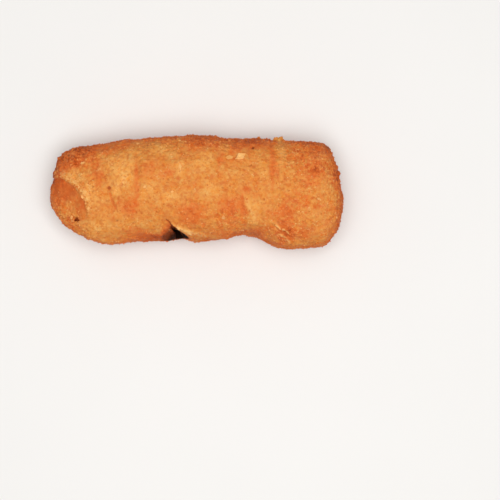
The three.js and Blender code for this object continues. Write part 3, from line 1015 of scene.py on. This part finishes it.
def apply_tree(thing, name, build, *values, **settings):
    """Runs a Geometry Nodes tree on an object and keeps its result as the object's own mesh."""
    tree = bpy.data.node_groups.new(name, "GeometryNodeTree")
    for way in ("INPUT", "OUTPUT"):
        tree.interface.new_socket("Geometry", in_out=way, socket_type="NodeSocketGeometry")
    build(Graph(tree), *values, **settings)
    only(thing)
    modifier = thing.modifiers.new(name, "NODES")
    modifier.node_group = tree
    bpy.ops.object.modifier_apply(modifier=modifier.name)
    bpy.data.node_groups.remove(tree)


def finish_piece(piece, material):
    """Gives a piece its material and ties it to the roll."""
    piece.data.materials.clear()
    piece.data.materials.append(material)
    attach(piece, BODY)
    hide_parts(ROLL)


def thin_out(thing, share):
    """Cuts an object's faces down to a share of them, where they add least."""
    fewer = thing.modifiers.new("fewer_faces", "DECIMATE")
    fewer.ratio = share
    bpy.ops.object.modifier_apply(modifier=fewer.name)


def model_crumb(name, size, faces, height, seed):
    """One angular crumb: a ball that is squashed to a height, roughened and cut down to a few dozen faces."""
    bpy.ops.object.select_all(action="DESELECT")
    bpy.ops.mesh.primitive_ico_sphere_add(subdivisions=2, radius=size / 2)
    crumb = bpy.context.active_object
    crumb.name = crumb.data.name = name
    bpy.ops.object.mode_set(mode="EDIT")
    bpy.ops.mesh.select_all(action="SELECT")
    bpy.ops.transform.resize(value=(CRUMB_ALONG, CRUMB_ACROSS, height))
    bpy.ops.transform.vertex_random(offset=CRUMB_STRAY * size, uniform=1.0, seed=seed)
    bpy.ops.object.mode_set(mode="OBJECT")
    thin_out(crumb, faces / len(crumb.data.polygons))
    return crumb


def mark(piece, name, value):
    """Gives all of a piece one value of an attribute that its finish reads."""
    values = piece.data.attributes.new(name, "FLOAT", "POINT").data
    values.foreach_set("value", [value] * len(piece.data.vertices))


def settle():
    """Leaves edit mode and enters it again, so that a mesh's corners have the same order on each run."""
    bpy.ops.object.mode_set(mode="OBJECT")
    bpy.ops.object.mode_set(mode="EDIT")


def model_flake(size, paleness, seed):
    """A thin flake with four or five corners, a rounded rim and crinkles, marked with its paleness."""
    bpy.ops.object.select_all(action="DESELECT")
    bpy.ops.mesh.primitive_cylinder_add(vertices=4 + seed % 2, radius=0.5 * MM, depth=MM)
    flake = bpy.context.active_object
    bpy.ops.object.mode_set(mode="EDIT")
    bpy.ops.mesh.select_all(action="SELECT")
    bpy.ops.transform.resize(value=size)
    bpy.ops.mesh.bevel(offset=FLAKE_RIM * size[2] * MM, segments=2, affect="EDGES")
    settle()
    bpy.ops.mesh.select_all(action="SELECT")
    bpy.ops.mesh.quads_convert_to_tris()
    settle()
    bpy.ops.mesh.subdivide(number_cuts=2)
    settle()
    bpy.ops.transform.vertex_random(offset=FLAKE_STRAY * min(size[:2]) * MM, uniform=1.0, seed=seed)
    bpy.ops.object.mode_set(mode="OBJECT")
    mark(flake, "paleness", paleness)
    return flake


def lay(piece, crust, start, end, turn, lift):
    """Lays a piece on the crust where the line from start to end meets it, turned by some degrees."""
    hit, at, normal, _ = crust.ray_cast(start, (end - start).normalized())
    if not hit:
        raise RuntimeError(f"the crust isn't met on the way to {end}")
    only(piece)
    piece.location = at + normal * lift
    piece.rotation_mode = "QUATERNION"
    upright = Vector((0.0, 0.0, 1.0))
    piece.rotation_quaternion = upright.rotation_difference(normal) @ Quaternion(upright, math.radians(turn))
    bpy.ops.object.transform_apply(location=True, rotation=True, scale=True)
    return piece


def joined(pieces, name):
    """Some pieces made one, with a name."""
    only(pieces[0])
    for piece in pieces:
        piece.select_set(True)
    bpy.ops.object.join()
    pieces[0].name = pieces[0].data.name = name
    return pieces[0]


# ---- Operators ----

# Where the two lights hang, in metres.
KEY_PLACE = (0.06, -0.08, 0.82)
FILL_PLACE = (-0.02, -0.02, 0.95)


class MESH_OT_spring_roll_crust(bpy.types.Operator):
    """Models the crust: the roll's solid, rounded off and raised into folds, blisters and crumb"""

    bl_idname = "mesh.spring_roll_crust"
    bl_label = "Crust"

    def execute(self, context):
        form = context.scene.roll_form
        crust = copy_of(ROLL, "crust")
        skin = crust.modifiers.new("even_skin", "REMESH")
        skin.mode = "VOXEL"
        skin.voxel_size = form.grain
        bpy.ops.object.modifier_apply(modifier=skin.name)
        apply_tree(crust, "crust_relief", crust_tree, form, context.scene.roll_stage)
        thin_out(crust, form.kept)
        bpy.ops.object.shade_smooth()
        finish_piece(crust, finished("fried_crust", crust_shader, context.scene.roll_colours))
        return {"FINISHED"}


class MESH_OT_spring_roll_crumbs(bpy.types.Operator):
    """Scatters fine and coarse crumbs over the crust and sticks on the few that stand out of it"""

    bl_idname = "mesh.spring_roll_crumbs"
    bl_label = "Crumbs"

    def execute(self, context):
        crumbs = context.scene.roll_crumbs
        crust = context.scene.objects["crust"]
        material = finished("loose_crumb", crumb_shader, context.scene.roll_colours)
        seed = crumbs.seed
        size, density = crumbs.fine_size, crumbs.fine_density
        fine = model_crumb("fine_crumbs", size, crumbs.fine_faces, height=0.8, seed=seed)
        spread = {"clumping": 0.0, "flat": False, "sunk": 0.08, "seed": seed}
        apply_tree(fine, "scatter", scatter_tree, crust, size, density, **spread)
        size, density = crumbs.coarse_size, crumbs.coarse_density
        coarse = model_crumb("coarse_crumbs", size, crumbs.coarse_faces, height=0.55, seed=seed + 1)
        spread = {"clumping": 0.4, "flat": True, "sunk": 0.18, "seed": seed + 10}
        apply_tree(coarse, "scatter", scatter_tree, crust, size, density, **spread)
        for piece in (fine, coarse, self.stick_on(crust, crumbs)):
            finish_piece(piece, material)
        return {"FINISHED"}

    def stick_on(self, crust, crumbs):
        """The few large crumbs that stick out of the outline."""
        lumps = []
        for i, (place, way, size, tone) in enumerate(STRAY_CRUMBS):
            lump = model_crumb("lump", size * MM, crumbs.stray_faces, height=0.8, seed=crumbs.seed + 20 + i)
            mark(lump, "tone", tone)
            behind = (Vector(place) + Vector((*ORIGIN, 0.0))) * MM
            outside = behind + way * CAD_BOX[1].x
            lumps.append(lay(lump, crust, outside, behind, turn=50 * i, lift=0.2 * size * MM))
        return joined(lumps, "stray_crumbs")


class MESH_OT_spring_roll_flakes(bpy.types.Operator):
    """Lays the pale flakes on top of the crust, as one piece"""

    bl_idname = "mesh.spring_roll_flakes"
    bl_label = "Flakes"

    def execute(self, context):
        stage = context.scene.roll_stage
        crust = context.scene.objects["crust"]
        camera = Vector((*stage.view_centre, MID_HEIGHT + stage.camera_height))
        flakes = []
        for i, ((x, y), turn, size, paleness) in enumerate(FLAKES):
            flake = model_flake(size, paleness, seed=i)
            place = Vector(((x + ORIGIN[0]) * MM, (y + ORIGIN[1]) * MM, MID_HEIGHT))
            flakes.append(lay(flake, crust, camera, place, turn, lift=0.3 * MM))
        material = finished("pale_flake", flake_shader, context.scene.roll_colours)
        finish_piece(joined(flakes, "pale_flakes"), material)
        return {"FINISHED"}


class SCENE_OT_spring_roll_stage(bpy.types.Operator):
    """Sets the pale floor, the soft lights and the camera that looks straight down"""

    bl_idname = "scene.spring_roll_stage"
    bl_label = "Stage"

    def execute(self, context):
        stage = context.scene.roll_stage
        self.lay_floor(stage)
        self.light_softly(context, stage)
        self.look_down(context, stage)
        return {"FINISHED"}

    def lay_floor(self, stage):
        bpy.ops.object.select_all(action="DESELECT")
        bpy.ops.mesh.primitive_plane_add(size=stage.floor_width)
        floor = bpy.context.active_object
        floor.name = "floor"
        floor.data.materials.append(finished("pale_floor", floor_shader, stage))

    def light_softly(self, context, stage):
        for name, power, width, place in (
            ("key_light", stage.key_power, stage.key_width, KEY_PLACE),
            ("fill_light", stage.fill_power, stage.fill_width, FILL_PLACE),
        ):
            bpy.ops.object.light_add(type="AREA", location=place)
            light = bpy.context.active_object
            light.name = name
            light.data.energy = power
            light.data.size = width
            light.rotation_euler = (-Vector(place)).to_track_quat("-Z", "Y").to_euler()
        world = bpy.data.worlds.new("soft_sky")
        world.use_nodes = True
        sky = next(n for n in world.node_tree.nodes if n.type == "BACKGROUND")
        sky.inputs["Color"].default_value = (1.0, 1.0, 1.0, 1.0)
        sky.inputs["Strength"].default_value = stage.sky
        context.scene.world = world
        context.scene.view_settings.view_transform = "Standard"

    def look_down(self, context, stage):
        bpy.ops.object.camera_add(location=(*stage.view_centre, MID_HEIGHT + stage.camera_height))
        camera = bpy.context.active_object
        camera.data.lens = camera.data.sensor_width * stage.camera_height / stage.view_width
        context.scene.camera = camera


class VIEW3D_PT_spring_roll(bpy.types.Panel):
    """The roll's operators and properties in the sidebar"""

    bl_label = "Spring Roll"
    bl_space_type = "VIEW_3D"
    bl_region_type = "UI"
    bl_category = "Spring Roll"

    def draw(self, context):
        for operator in OPERATORS:
            self.layout.operator(operator.bl_idname)
        for name in PROPERTIES:
            box = self.layout.box()
            group = getattr(context.scene, name)
            for prop in group.bl_rna.properties:
                if prop.identifier not in ("rna_type", "name"):
                    box.prop(group, prop.identifier)


PROPERTIES = {
    "roll_form": RollForm,
    "roll_crumbs": RollCrumbs,
    "roll_colours": RollColours,
    "roll_stage": RollStage,
}
OPERATORS = (
    MESH_OT_spring_roll_crust,
    MESH_OT_spring_roll_crumbs,
    MESH_OT_spring_roll_flakes,
    SCENE_OT_spring_roll_stage,
)


def register():
    for cls in (*PROPERTIES.values(), *OPERATORS, VIEW3D_PT_spring_roll):
        bpy.utils.register_class(cls)
    for name, group in PROPERTIES.items():
        setattr(bpy.types.Scene, name, PointerProperty(type=group))


def unregister():
    for name in PROPERTIES:
        delattr(bpy.types.Scene, name)
    for cls in (VIEW3D_PT_spring_roll, *OPERATORS, *PROPERTIES.values()):
        bpy.utils.unregister_class(cls)


def main():
    register()
    bpy.ops.mesh.spring_roll_crust()
    bpy.ops.mesh.spring_roll_crumbs()
    bpy.ops.mesh.spring_roll_flakes()
    bpy.ops.scene.spring_roll_stage()


if __name__ == "__main__":
    main()
